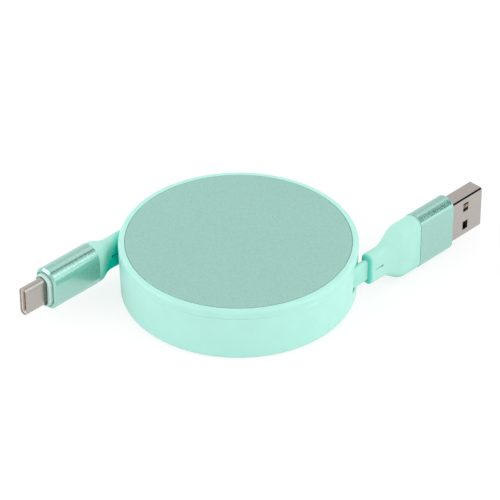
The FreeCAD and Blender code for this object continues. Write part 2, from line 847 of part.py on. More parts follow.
def make_inner_mould(side, start, length, socket, socket_start):
    """Moulding that fills the sleeve behind its front wall and grips the tail of the shell."""
    body = new_body(f"usb_{side}_inner_mould")
    outside = new_sketch(body, "outside", "YZ_Plane", start, cavity_section(side, "mould_gap"))
    pad(body, "block", outside, length)
    grip = new_sketch(body, "socket", "YZ_Plane", socket_start, socket)
    pocket(body, "shell_socket", grip, start + length - socket_start)
    place_plug_piece(body, side)
    return body


def a_shell_section(gap=0):
    return rounded_rectangle(*around(A_SHELL, gap, gap), size("a_shell_rounding") + gap)


def make_a_shell():
    """Folded sheet shell with two windows in each broad face and an open seam beside one edge."""
    body = new_body("usb_a_shell")
    length = A_TIP - A_SHELL_START
    sheet_gauge = size("a_shell_sheet")
    outside = new_sketch(body, "outside", "YZ_Plane", A_SHELL_START, a_shell_section())
    pad(body, "box", outside, length)
    inner_thickness = size("a_shell_thickness") - sheet_gauge * 2
    inner_width = size("a_shell_width") - sheet_gauge * 2
    inside = new_sketch(body, "inside", "YZ_Plane", A_SHELL_START,
                        rounded_rectangle(inner_thickness, inner_width,
                                          size("a_shell_rounding") - sheet_gauge / 2))
    pocket(body, "hollow", inside, length)
    middle = A_TIP - "a_window_back"
    half_long = size("a_window_long") / 2
    near = size("a_window_apart") / 2 - size("a_window_high") / 2
    far = near + "a_window_high"
    face = size("a_shell_thickness") / 2
    windows = new_sketch(body, "windows", "XZ_Plane", -face,
                         rectangle(middle - half_long, near, middle + half_long, far),
                         rectangle(middle - half_long, -far, middle + half_long, -near))
    pocket(body, "latch_windows", windows, "a_shell_thickness")
    seam_top = inner_width / 2
    seam = new_sketch(body, "seam", "XZ_Plane", face - sheet_gauge,
                      rectangle(A_SLEEVE_END, seam_top - "a_seam_width", A_TIP, seam_top))
    pocket(body, "fold_seam", seam, sheet_gauge)
    place_plug_piece(body, "a")
    return body


def a_tongue_faces():
    """Back and front of the tongue across the plug: it lies against the shell's far wall."""
    back = size("a_shell_thickness") / 2 - "a_shell_sheet" - "shell_gap"
    return back - "a_tongue_thickness", back


def make_a_tongue():
    body = new_body("usb_a_tongue")
    front, back = a_tongue_faces()
    half = size("a_shell_width") / 2 - "a_shell_sheet" - "a_shell_rounding"
    section = new_sketch(body, "section", "YZ_Plane", A_SHELL_START, rectangle(front, -half, back, half))
    pad(body, "plate", section, A_TIP - "a_tongue_back" - A_SHELL_START)
    place_plug_piece(body, "a")
    return body


def make_a_contacts():
    """Four strips on the tongue: the outer two reach further forward."""
    body = new_body("usb_a_contacts")
    front, _ = a_tongue_faces()
    tip = A_TIP - "a_tongue_back" - "a_contact_back"
    half = size("a_contact_width") / 2
    strips = []
    for place, back in (("a_contact_outer", ZERO), ("a_contact_inner", size("a_contact_step"))):
        for middle in (size(place), -size(place)):
            end = tip - back
            strips.append(rectangle(end - "a_contact_length", middle - half, end, middle + half))
    outline = new_sketch(body, "strips", "XZ_Plane", -front, *strips)
    pad(body, "contacts", outline, "a_contact_sheet")
    place_plug_piece(body, "a")
    return body


def c_shell_section(gap=0):
    return upright_stadium(*around(C_SHELL, gap, gap))


def c_insert_section():
    return c_shell_section(-(size("c_shell_sheet") + "c_insert_fit"))


def make_c_nose():
    """Plastic nose: a flange behind the sleeve's front wall and a rounded end that stands out of it."""
    body = new_body("usb_c_nose")
    flange_start = C_SLEEVE_END - "c_front_wall" - "c_nose_flange"
    flange = new_sketch(body, "flange", "YZ_Plane", flange_start, cavity_section("c", "mould_gap"))
    pad(body, "flange_plate", flange, "c_nose_flange")
    spigot_start = flange_start + "c_nose_flange"
    spigot = new_sketch(body, "spigot", "YZ_Plane", spigot_start,
                        upright_stadium(*C_NOSE))
    pad(body, "nose_end", spigot, C_NOSE_END - spigot_start)
    dress(body, "Fillet", "nose_edge", at_x(C_NOSE_END), "c_nose_rounding")
    hole = new_sketch(body, "hole", "YZ_Plane", flange_start, c_shell_section("shell_gap"))
    pocket(body, "shell_hole", hole, C_NOSE_END - flange_start)
    place_plug_piece(body, "c")
    return body


def make_c_shell():
    """Drawn steel shell with a rounded rim."""
    body = new_body("usb_c_shell")
    length = C_TIP - C_SHELL_START
    outside = new_sketch(body, "outside", "YZ_Plane", C_SHELL_START, c_shell_section())
    pad(body, "tube", outside, length)
    dress(body, "Fillet", "rim", at_x(C_TIP), "c_shell_rounding")
    inside = new_sketch(body, "inside", "YZ_Plane", C_SHELL_START, c_shell_section(-size("c_shell_sheet")))
    pocket(body, "hollow", inside, length)
    place_plug_piece(body, "c")
    return body


def make_c_insulator():
    body = new_body("usb_c_insulator")
    end = C_TIP - "c_insert_back"
    section = new_sketch(body, "section", "YZ_Plane", C_SHELL_START, c_insert_section())
    pad(body, "insert", section, end - C_SHELL_START)
    half_width = size("c_mouth_width") / 2
    half_height = size("c_mouth_height") / 2
    mouth = new_sketch(body, "mouth", "YZ_Plane", end - "c_mouth_depth",
                       rectangle(-half_height, -half_width, half_height, half_width))
    pocket(body, "contact_mouth", mouth, "c_mouth_depth")
    place_plug_piece(body, "c")
    return body


def make_c_contacts():
    """Two facing rows of contact strips on the walls of the mouth."""
    body = new_body("usb_c_contacts")
    start = C_TIP - "c_insert_back" - "c_contact_back" - "c_contact_length"
    wall = size("c_mouth_height") / 2
    inner = wall - "c_contact_sheet"
    half = size("c_contact_width") / 2
    row_span = size("c_contact_pitch") * (C_CONTACTS - 1)
    lowest = -row_span / 2
    pair = new_sketch(body, "pair", "YZ_Plane", start,
                      rectangle(inner, lowest - half, wall, lowest + half),
                      rectangle(-wall, lowest - half, -inner, lowest + half))
    first = pad(body, "first_pair", pair, "c_contact_length")
    rows = body.newObject("PartDesign::LinearPattern", f"{body.Name}_rows")
    rows.Originals = [first]
    rows.Direction = (origin_feature(body, "Z_Axis"), [""])
    bind(rows, "Length", row_span)
    rows.Occurrences = C_CONTACTS
    body.Tip = rows
    place_plug_piece(body, "c")
    return body


def make_c_latch_springs():
    """A leaf at each end of the mouth that grips the socket."""
    body = new_body("usb_c_latch_springs")
    start = C_TIP - "c_insert_back" - "c_contact_back" - "c_contact_length"
    half = size("c_spring_height") / 2
    wall = size("c_mouth_width") / 2
    inner = wall - "c_spring_sheet"
    leaves = new_sketch(body, "leaves", "YZ_Plane", start,
                        rectangle(-half, inner, half, wall), rectangle(-half, -wall, half, -inner))
    pad(body, "side_springs", leaves, "c_contact_length")
    place_plug_piece(body, "c")
    return body


def make_case_pieces():
    return [make_lower_case(), make_upper_cover(), make_top_disc(), make_disc_adhesive(),
            make_centre_screw(), make_latch_ball()]


def make_reel_pieces():
    return [make_reel_drum(), make_reel_cap(), make_power_spring(), make_cable_roll()]


def make_a_plug():
    return [
        make_lead("a", A_SLEEVE_START),
        make_boot("a"),
        make_sleeve("a", A_SLEEVE_START, a_shell_section("shell_gap"), "Fillet", "a_front_rounding"),
        make_inner_mould("a", A_SLEEVE_START, size("a_sleeve_length") - "a_front_wall",
                         a_shell_section("shell_gap"), A_SHELL_START),
        make_a_shell(),
        make_a_tongue(),
        make_a_contacts(),
    ]


def make_c_plug():
    return [
        make_lead("c", C_SLEEVE_START),
        make_boot("c"),
        make_sleeve("c", C_SLEEVE_START, upright_stadium(*around(C_NOSE, "c_nose_fit", "c_nose_fit")),
                    "Chamfer", "c_front_bevel"),
        make_inner_mould("c", C_SLEEVE_START,
                         size("c_sleeve_length") - "c_front_wall" - "c_nose_flange",
                         c_shell_section("shell_gap"), C_SHELL_START),
        make_c_nose(),
        make_c_shell(),
        make_c_insulator(),
        make_c_contacts(),
        make_c_latch_springs(),
    ]


def check(pieces):
    """Stop if anything in the document failed or a piece is not a sound solid."""
    for item in doc.Objects:
        if "Invalid" in item.State or "Error" in item.State:
            raise RuntimeError(f"{item.Label} failed: {item.State}")
    for piece in pieces:
        shape = piece.Shape
        if shape.isNull() or not shape.isValid() or not shape.Solids:
            raise RuntimeError(f"{piece.Label} is not a valid solid")


def write(pieces):
    os.makedirs("parts", exist_ok=True)
    for piece in pieces:
        piece.Shape.exportStep(f"parts/{piece.Label}.step")


all_pieces = make_case_pieces() + make_reel_pieces() + make_a_plug() + make_c_plug()
doc.recompute()
check(all_pieces)
write(all_pieces)
for made in all_pieces:
    solid = made.Shape
    print(f"{made.Label}: {len(solid.Solids)} solid(s), {solid.Volume:.2f} mm3")
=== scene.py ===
import json
import math

import bmesh
import bpy
from bpy.props import FloatProperty, FloatVectorProperty, IntProperty, PointerProperty
from bpy.types import Operator, Panel, PropertyGroup
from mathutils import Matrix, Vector


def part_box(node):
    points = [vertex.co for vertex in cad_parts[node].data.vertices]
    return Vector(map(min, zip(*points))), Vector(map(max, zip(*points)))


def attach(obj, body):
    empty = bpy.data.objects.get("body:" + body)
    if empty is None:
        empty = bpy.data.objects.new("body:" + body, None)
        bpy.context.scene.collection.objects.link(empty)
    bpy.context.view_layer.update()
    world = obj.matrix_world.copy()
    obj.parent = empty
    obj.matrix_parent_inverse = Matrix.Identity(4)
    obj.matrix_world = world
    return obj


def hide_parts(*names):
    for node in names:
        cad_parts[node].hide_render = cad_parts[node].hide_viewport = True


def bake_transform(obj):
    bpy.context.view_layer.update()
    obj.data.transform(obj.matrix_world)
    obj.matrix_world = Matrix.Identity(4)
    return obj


bl_info = {
    "name": "Retractable charging cable",
    "version": (1, 0, 0),
    "blender": (4, 5, 0),
    "location": "3D View > Sidebar > Cable",
    "description": "Dresses the round cable reel and its two plugs, and lights them",
    "category": "Object",
}

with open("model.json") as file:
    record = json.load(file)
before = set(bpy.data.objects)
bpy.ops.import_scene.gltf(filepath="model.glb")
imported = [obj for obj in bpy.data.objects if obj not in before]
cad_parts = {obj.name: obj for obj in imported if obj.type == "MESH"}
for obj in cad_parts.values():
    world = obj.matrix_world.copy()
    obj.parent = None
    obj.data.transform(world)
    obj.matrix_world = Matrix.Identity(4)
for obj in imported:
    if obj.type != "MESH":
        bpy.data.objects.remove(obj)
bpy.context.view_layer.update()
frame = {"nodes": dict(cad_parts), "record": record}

# The pieces are modelled in millimetres and brought to metres when they are settled on the frame.
# Lengths in the constants of the pieces and finishes are in millimetres too.
MM = 0.001
# The two plugs, each with the way along X in which it leaves the case.
PLUGS = (("a", 1), ("c", -1))
# How near two places are that count as one, and how near to a vertex a cut still goes through it.
SAME_PLACE = 1e-3
CUT_TOLERANCE = 1e-5
# The least share of a direction along an axis that counts as parallel to it.
PARALLEL = 0.999
# How far a cutter stands out of the piece that it cuts.
OVERSHOOT = 1.0
# How far the corners of a full round stay short of meeting.
ROUND_MARGIN = 0.01
# Facets round a corner of the flat cable.
CABLE_FACETS = 5
# Faces that meet at more than this angle, in degrees, keep a crisp edge between them.
CRISP_ANGLE = 35
# How far large faces rule the shading of the bevels beside them, where 50 is neutral.
FACE_WEIGHT = 80


def srgb(red, green, blue):
    """Scene-linear colour from the 0 to 255 values that a screen shows, by the sRGB curve."""
    def linear(value):
        share = value / 255
        return share / 12.92 if share <= 0.04045 else ((share + 0.055) / 1.055) ** 2.4
    return linear(red), linear(green), linear(blue)


def length(name, description, millimetres):
    return FloatProperty(name=name, description=description, default=millimetres * MM, min=0.0,
                         precision=5, unit="LENGTH")


def colour(name, description, *screen):
    return FloatVectorProperty(name=name, description=description, default=srgb(*screen), size=3,
                               min=0.0, max=1.0, subtype="COLOR")


class CableSizes(PropertyGroup):
    """Lengths of the pieces that the frame's boxes do not give."""

    neck_height: length("Neck height", "Height of a boot's neck", 9.0)
    neck_thickness: length("Neck thickness", "Thickness of a boot's neck", 3.7)
    neck_rounding: length("Neck rounding", "Corner radius of a boot's neck", 1.5)
    boot_lip: length("Boot lip", "Rounding of the end of a boot", 0.6)
    a_neck: length("USB-A neck", "Length of the USB-A boot's neck", 5.0)
    a_shoulder: length("USB-A shoulder", "Length over which the USB-A boot swells", 7.4)
    c_neck: length("USB-C neck", "Length of the USB-C boot's neck", 7.2)
    c_shoulder: length("USB-C shoulder", "Length over which the USB-C boot swells", 4.9)
    case_gap: length("Case gap", "Between the case and the USB-C boot", 0.2)
    slit_back: length("Slit back", "From the end of the neck back to its relief slit", 0.2)
    slit_length: length("Slit length", "Length of the relief slit", 3.2)
    slit_height: length("Slit height", "Height of the relief slit at its open end", 0.75)
    slit_depth: length("Slit depth", "Depth of the relief slit at its open end", 0.95)
    a_rounding: length("USB-A sleeve rounding", "Corner radius of the USB-A sleeve", 2.8)
    c_rounding: length("USB-C sleeve rounding", "Corner radius of the USB-C sleeve", 3.6)
    sleeve_wall: length("Sleeve wall", "Wall of the aluminium sleeves", 0.5)
    front_wall: length("Front wall", "Thickness of a sleeve's front", 0.9)
    a_front: length("USB-A front", "Rounding of the USB-A sleeve's front edge", 0.7)
    c_front: length("USB-C front", "Bevel of the USB-C sleeve's front edge", 0.55)
    rear_edge: length("Rear edge", "Rounding of a sleeve's rear edge", 0.12)
    nose_height: length("Nose height", "Height of the USB-C nose", 9.5)
    nose_thickness: length("Nose thickness", "Thickness of the USB-C nose", 5.4)
    nose_corner: length("Nose corner", "Corner radius of the nose", 2.5)
    nose_rounding: length("Nose rounding", "Rounding of the nose's front edge", 0.36)
    nose_rim: length("Nose rim", "Flat of the raised rim round the nose's face", 0.1)
    nose_dish: length("Nose dish", "Depth of the nose's face behind its rim", 0.35)
    nose_gap: length("Nose gap", "Open joint between the nose and its sleeve", 0.06)
    nose_hole: length("Nose hole", "Open joint between the nose and the shell", 0.2)
    ledge_width: length("Ledge width", "Width of the ledge in the sleeve round the nose", 0.5)
    ledge_depth: length("Ledge depth", "Depth of the ledge in the sleeve round the nose", 0.55)
    a_sheet: length("USB-A sheet", "Gauge of the USB-A shell", 0.3)
    c_sheet: length("USB-C sheet", "Gauge of the USB-C shell", 0.25)
    a_corner: length("USB-A corner", "Corner radius of the USB-A shell", 0.4)
    sheet_edge: length("Sheet edge", "Rounding of cut sheet edges", 0.13)
    window_long: length("Window length", "Length of a window along the shell", 2.0)
    window_high: length("Window height", "Height of a window", 2.7)
    window_apart: length("Window spacing", "From one window's middle to the other's", 5.8)
    window_back: length("Window place", "From the shell's tip to the windows' middle", 6.3)
    seam_width: length("Seam width", "Width of the USB-A shell's seam on its narrow face", 0.45)
    seam_depth: length("Seam depth", "Depth of the USB-A shell's seam below its face", 0.28)
    lead_rounding: length("Lead rounding", "Corner radius of the flat cable", 0.65)
    lead_steps: IntProperty(name="Lead steps", default=64, min=8,
                            description="Rings of the stretch that pays out of the case")


class CableColours(PropertyGroup):
    """Colours of the finishes."""

    case: colour("Case", "Satin moulded plastic of the case", 177, 234, 222)
    disc: colour("Disc", "Blasted and anodised disc", 160, 204, 194)
    boot: colour("Boot", "Soft moulding of the boots", 176, 229, 216)
    jacket: colour("Jacket", "Jacket of the flat cable", 172, 231, 218)
    sleeve: colour("Sleeve", "Brushed and anodised sleeves", 167, 211, 201)
    shell: colour("Shell", "Nickel-plated shells", 184, 177, 172)
    nose: colour("Nose", "Moulded nose of the USB-C plug", 194, 226, 218)
    tongue: colour("Tongue", "Insulator of the USB-A plug", 28, 28, 30)
    insulator: colour("Insulator", "Insert of the USB-C plug", 242, 236, 226)
    contact: colour("Contact", "Gold-plated contacts", 226, 202, 170)
    white: colour("White mouldings", "Reel and inner mouldings", 232, 232, 228)
    # Painted shade: near-black for the whole cut of the seam, standing in for the shadow in its
    # groove.
    seam: colour("Seam", "Bottom of the USB-A shell's seam", 22, 20, 19)
    # Painted shade: the deep green that stands in for the case's shadow and bounce light on the
    # boots where they meet or face it.
    root: colour("Boot root", "Boots by the case, where their moulding looks deeper", 0, 218, 198)
    steel: colour("Steel", "Screw, ball and springs", 170, 171, 174)
    film: colour("Film", "Adhesive film under the disc", 222, 222, 214)
    floor: colour("Floor", "Studio floor", 255, 255, 255)


def mm(metres):
    return metres / MM


def plug_size(sizes, side, part):
    """One of the sizes that the two plugs have each for itself, in millimetres."""
    return mm(getattr(sizes, f"{side}_{part}"))


def box_mm(node):
    """Lowest and highest corner of a CAD node in millimetres."""
    low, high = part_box(node)
    return low / MM, high / MM


def plug_middle(side):
    """A point on the line through the middle of a plug."""
    low, high = box_mm(f"usb_{side}_sleeve")
    return (low + high) / 2


def ends(low, high, outward):
    """Where a plug's piece starts, by the case, and where it ends, along X."""
    return (low.x, high.x) if outward > 0 else (high.x, low.x)


def add(operator, **settings):
    """Add an object, which is then selected alone."""
    bpy.ops.object.select_all(action="DESELECT")
    operator(**settings)
    return bpy.context.object


def select_alone(piece):
    if bpy.context.object and bpy.context.object.mode != "OBJECT":
        bpy.ops.object.mode_set(mode="OBJECT")
    bpy.ops.object.select_all(action="DESELECT")
    piece.select_set(True)
    bpy.context.view_layer.objects.active = piece


def start_editing(piece):
    select_alone(piece)
    bpy.ops.object.mode_set(mode="EDIT")


def stop_editing():
    bpy.ops.object.mode_set(mode="OBJECT")


def choose(kind, test):
    """In edit mode, select the faces, edges or vertices that pass a test."""
    bpy.ops.mesh.select_mode(type=kind)
    bpy.ops.mesh.select_all(action="DESELECT")
    mesh = bmesh.from_edit_mesh(bpy.context.object.data)
    for element in {"VERT": mesh.verts, "EDGE": mesh.edges, "FACE": mesh.faces}[kind]:
        element.select = bool(test(element))
    mesh.select_flush_mode()
    bmesh.update_edit_mesh(bpy.context.object.data)


def along_x(edge):
    run = (edge.verts[1].co - edge.verts[0].co).normalized()
    return abs(run.x) > PARALLEL


def at_x(place):
    """A test for the edges or faces that lie square across X at a place."""
    return lambda element: all(abs(vert.co.x - place) < SAME_PLACE for vert in element.verts)


def round_edges(test, radius, facets):
    choose("EDGE", test)
    bpy.ops.mesh.bevel(offset=radius, segments=facets, profile=0.5, affect="EDGES")


def score(point, normal):
    """In edit mode, cut new edges into a piece where a plane goes through it."""
    bpy.ops.mesh.select_all(action="SELECT")
    bpy.ops.mesh.bisect(plane_co=point, plane_no=normal, threshold=CUT_TOLERANCE)


def bar(name, low, high, rounding, facets):
    """A bar along X between two corners, with its four long edges rounded."""
    piece = add(bpy.ops.mesh.primitive_cube_add, size=1, location=(low + high) / 2)
    piece.name = piece.data.name = name
    piece.scale = high - low
    bpy.ops.object.transform_apply(location=True, rotation=True, scale=True)
    start_editing(piece)
    round_edges(along_x, rounding, facets)
    stop_editing()
    return piece


def section_bar(name, x0, x1, middle, thickness, height, rounding, facets):
    """A bar along X from its ends and its section about a line through the middle."""
    half = Vector((0, thickness / 2, height / 2))
    low = Vector((min(x0, x1), middle.y, middle.z)) - half
    high = Vector((max(x0, x1), middle.y, middle.z)) + half
    return bar(name, low, high, rounding, facets)


def full_round(low, high):
    """The corner radius that rounds a bar's two narrow sides all over."""
    return (high.y - low.y) / 2 - ROUND_MARGIN


def open_end(piece, place):
    """Take away the face that closes a bar's end."""
    start_editing(piece)
    choose("FACE", at_x(place))
    bpy.ops.mesh.delete(type="FACE")
    stop_editing()


def join(piece, other):
    select_alone(piece)
    other.select_set(True)
    bpy.ops.object.join()


def apply_modifier(piece, kind, **settings):
    select_alone(piece)
    tool = piece.modifiers.new(kind.lower(), kind)
    for setting, value in settings.items():
        setattr(tool, setting, value)
    bpy.ops.object.modifier_apply(modifier=tool.name)


def cut(piece, cutter):
    """Take a cutter's shape out of a piece, with the cutter's finish on the cut if it has one."""
    apply_modifier(piece, "BOOLEAN", operation="DIFFERENCE", solver="EXACT", object=cutter,
                   material_mode="TRANSFER" if cutter.data.materials else "INDEX")
    bpy.data.objects.remove(cutter)


def settle(piece, body, node, slot):
    """Shade a finished piece, bring it to metres and let it stand for its CAD node."""
    select_alone(piece)
    piece.scale = (MM, MM, MM)
    bpy.ops.object.transform_apply(location=True, rotation=True, scale=True)
    bpy.ops.object.shade_smooth_by_angle(angle=math.radians(CRISP_ANGLE))
    apply_modifier(piece, "WEIGHTED_NORMAL", keep_sharp=True, weight=FACE_WEIGHT)
    if not piece.data.materials:
        piece.data.materials.append(finish(slot))
    if body is not None:
        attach(piece, body)
    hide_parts(node)


class Graph:
    """Shorthand for the nodes of one material or world."""

    # A Mix node's sockets have the same names for numbers, vectors and colours. These mix colours.
    MIX_SHARE, MIX_FIRST, MIX_SECOND, MIX_RESULT = 0, 6, 7, 2

    def __init__(self, tree):
        self.tree = tree
        tree.nodes.clear()

    def node(self, kind, inputs=None, **settings):
        """A new node, with a value or a link on each input that is given by name or number."""
        made = self.tree.nodes.new(kind)
        for setting, value in settings.items():
            setattr(made, setting, value)
        for name, value in (inputs or {}).items():
            if isinstance(value, bpy.types.NodeSocket):
                self.tree.links.new(value, made.inputs[name])
            else:
                made.inputs[name].default_value = value
        return made

    def place(self, stretch=(1, 1, 1)):
        """Object coordinates in millimetres, drawn out along the axes."""
        spot = self.node("ShaderNodeTexCoord").outputs["Object"]
        scale = tuple(share / MM for share in stretch)
        return self.node("ShaderNodeMapping", {"Vector": spot, "Scale": scale}).outputs["Vector"]

    def noise(self, scale, detail, stretch=(1, 1, 1), roughness=0.55):
        """Noise with a number of patches to the millimetre."""
        return self.node("ShaderNodeTexNoise", {
            "Vector": self.place(stretch), "Scale": scale, "Detail": detail,
            "Roughness": roughness}).outputs["Fac"]

    def maths(self, operation, *values):
        """What a sum on two or three values comes to."""
        inputs = dict(enumerate(values))
        return self.node("ShaderNodeMath", inputs, operation=operation).outputs[0]

    def largest(self, value, *others):
        """The largest of some values."""
        for other in others:
            value = self.maths("MAXIMUM", value, other)
        return value

    def spread(self, value, low, high, start=0.3, end=0.7, **settings):
        """A value from start to end brought to a range from low to high."""
        return self.node("ShaderNodeMapRange", {
            "Value": value, "From Min": start, "From Max": end,
            "To Min": low, "To Max": high}, **settings).outputs["Result"]

    def swing(self, value, middle, reach):
        """A noise brought to a range that reaches as far below a middle as above it."""
        return self.spread(value, middle - reach, middle + reach)

    def mixture(self, share, first, second):
        """A colour that is the first at a share of 0 and the second at 1."""
        inputs = {self.MIX_SHARE: share, self.MIX_FIRST: first, self.MIX_SECOND: second}
        return self.node("ShaderNodeMix", inputs, data_type="RGBA").outputs[self.MIX_RESULT]

    def shade(self, tone, contrast, share):
        """A tone that is darker by a contrast at a share of 0 and lighter by it at 1."""
        dark = (*(channel * (1 - contrast) for channel in tone), 1)
        light = (*(min(channel * (1 + contrast), 1) for channel in tone), 1)
        return self.mixture(share, dark, light)

    def bump(self, height, strength, depth):
        """A relief of some depth in millimetres."""
        return self.node("ShaderNodeBump", {"Height": height, "Strength": strength,
                                            "Distance": depth * MM}).outputs["Normal"]

    def surface(self, inputs):
        """A Principled surface and the material's output."""
        shader = self.node("ShaderNodeBsdfPrincipled", inputs)
        self.node("ShaderNodeOutputMaterial", {"Surface": shader.outputs["BSDF"]})


def new_graph(name):
    material = bpy.data.materials.new(name)
    material.use_nodes = True
    return material, Graph(material.node_tree)


# Painted shade at the root of the USB-A boot, where its end faces the case: it fades over a short
# run from the boot's end.
A_ROOT_SHADE_START, A_ROOT_SHADE_RUN, A_ROOT_SHADE_SHARE = 0.05, 1.0, 0.6
# At the root of the USB-C boot the painted shade fades away from the case's wall, sooner the higher
# up, and goes from full on the side towards the case to weak on the other, about the middle of the
# plug.
C_ROOT_SHADE_START, C_ROOT_SHADE_RUN, C_ROOT_SHADE_LEAN = 1.6, 2.7, 0.45
C_ROOT_SHADE_FULL, C_ROOT_SHADE_WEAK = 1.0, 0.2
C_ROOT_SHADE_NEAR, C_ROOT_SHADE_FAR = -0.6, 1.2


def root_shade_share(graph, side):
    """How much painted shade a boot gets at a place, from 0 to 1."""
    spot = graph.node("ShaderNodeSeparateXYZ", {"Vector": graph.place()}).outputs
    if side == "a":
        reach = spot["X"]
        start, run, share = box_mm("usb_a_boot")[0].x + A_ROOT_SHADE_START, A_ROOT_SHADE_RUN, A_ROOT_SHADE_SHARE
    else:
        middle = plug_middle("c")
        from_axis = graph.node("ShaderNodeVectorMath", {0: graph.place((1, 1, 0))},
                               operation="LENGTH").outputs["Value"]
        reach = graph.maths("MULTIPLY_ADD", spot["Z"], C_ROOT_SHADE_LEAN, from_axis)
        start = box_mm("upper_cover")[1].x + C_ROOT_SHADE_LEAN * middle.z + C_ROOT_SHADE_START
        run = C_ROOT_SHADE_RUN
        share = graph.spread(spot["Y"], C_ROOT_SHADE_FULL, C_ROOT_SHADE_WEAK,
                             middle.y + C_ROOT_SHADE_NEAR, middle.y + C_ROOT_SHADE_FAR)
    return graph.maths("MULTIPLY", graph.spread(reach, 1, 0, start, start + run), share)


# Mouldings: patches of mottle to the millimetre, the swing of the roughness, and the strength of
# the grain's relief.
MOTTLE_SCALE = 0.22
MOULDED_SWING = 0.05
MOULDED_STRENGTH = 0.35


def moulding(name, tone, roughness, grain, relief, mottle, specular=0.5, boot=None):
    """Moulded plastic: a fine spark-eroded grain, and a slight mottle in its colour and gloss.
    A boot's gets painted shade at its root: a deeper colour and less gloss where the case shades
    it."""
    material, graph = new_graph(name)
    patches = graph.noise(MOTTLE_SCALE, detail=4)
    fine = graph.noise(grain, detail=2)
    paint = graph.shade(tone, mottle, graph.spread(patches, 0, 1))
    if boot is not None:
        # Painted shade: towards the case the boot's colour turns to the deep root colour and its
        # gloss fades.
        deep = root_shade_share(graph, boot)
        paint = graph.mixture(deep, paint, (*bpy.context.scene.cable_colours.root, 1))
        specular = graph.spread(deep, specular, 0.0, 0, 1)
    graph.surface({
        "Base Color": paint,
        "Roughness": graph.swing(fine, roughness, MOULDED_SWING),
        "Specular IOR Level": specular,
        "Normal": graph.bump(fine, MOULDED_STRENGTH, relief),
    })
    return material


# Metals: the strength of the grain's relief, the swing of the roughness with the brush marks and
# with the beads, and broad patches to the millimetre with their swing.
METAL_STRENGTH = 0.5
BRUSHED_SWING = 0.07
BLASTED_SWING = 0.06
BROAD_SCALE = 0.35
BROAD_SWING = 0.02
# Blasted metal: faint clouds to the millimetre, and the shares of beads and clouds in its colour.
CLOUD_SCALE = 0.045
BEAD_SHARE = 0.9
CLOUD_SHARE = 0.1


def brushed_metal(name, tone, roughness, stretch, grain, relief, contrast):
    """Metal with brush marks along one axis, seen in its colour, gloss and relief."""
    material, graph = new_graph(name)
    marks = graph.noise(grain, detail=5, stretch=stretch, roughness=0.7)
    broad = graph.noise(BROAD_SCALE, detail=2)
    graph.surface({
        "Base Color": graph.shade(tone, contrast, graph.spread(marks, 0, 1)),
        "Metallic": 1.0,
        "Roughness": graph.maths("ADD", graph.swing(marks, roughness, BRUSHED_SWING),
                                 graph.swing(broad, 0, BROAD_SWING)),
        "Normal": graph.bump(marks, METAL_STRENGTH, relief),
    })
    return material


def blasted_metal(name, tone, roughness, grain, relief, contrast, metallic):
    """Metal blasted with fine beads: an even grain with no direction, and faint clouds."""
    material, graph = new_graph(name)
    beads = graph.noise(grain, detail=3, roughness=0.65)
    cloud = graph.noise(CLOUD_SCALE, detail=2)
    both = graph.maths("MULTIPLY_ADD", graph.spread(beads, 0, 1), BEAD_SHARE,
                       graph.spread(cloud, 0, CLOUD_SHARE))
    graph.surface({
        "Base Color": graph.shade(tone, contrast, both),
        "Metallic": metallic,
        "Roughness": graph.swing(beads, roughness, BLASTED_SWING),
        "Normal": graph.bump(beads, METAL_STRENGTH, relief),
    })
    return material


BOOT_LOOKS = dict(roughness=0.6, grain=10.0, relief=0.006, mottle=0.03, specular=0.3)
WHITE_LOOKS = dict(roughness=0.5, grain=6.0, relief=0.006, mottle=0.03)
PLAIN_STEEL = dict(roughness=0.25, stretch=(1, 1, 1), grain=4.0, relief=0.003, contrast=0.06)
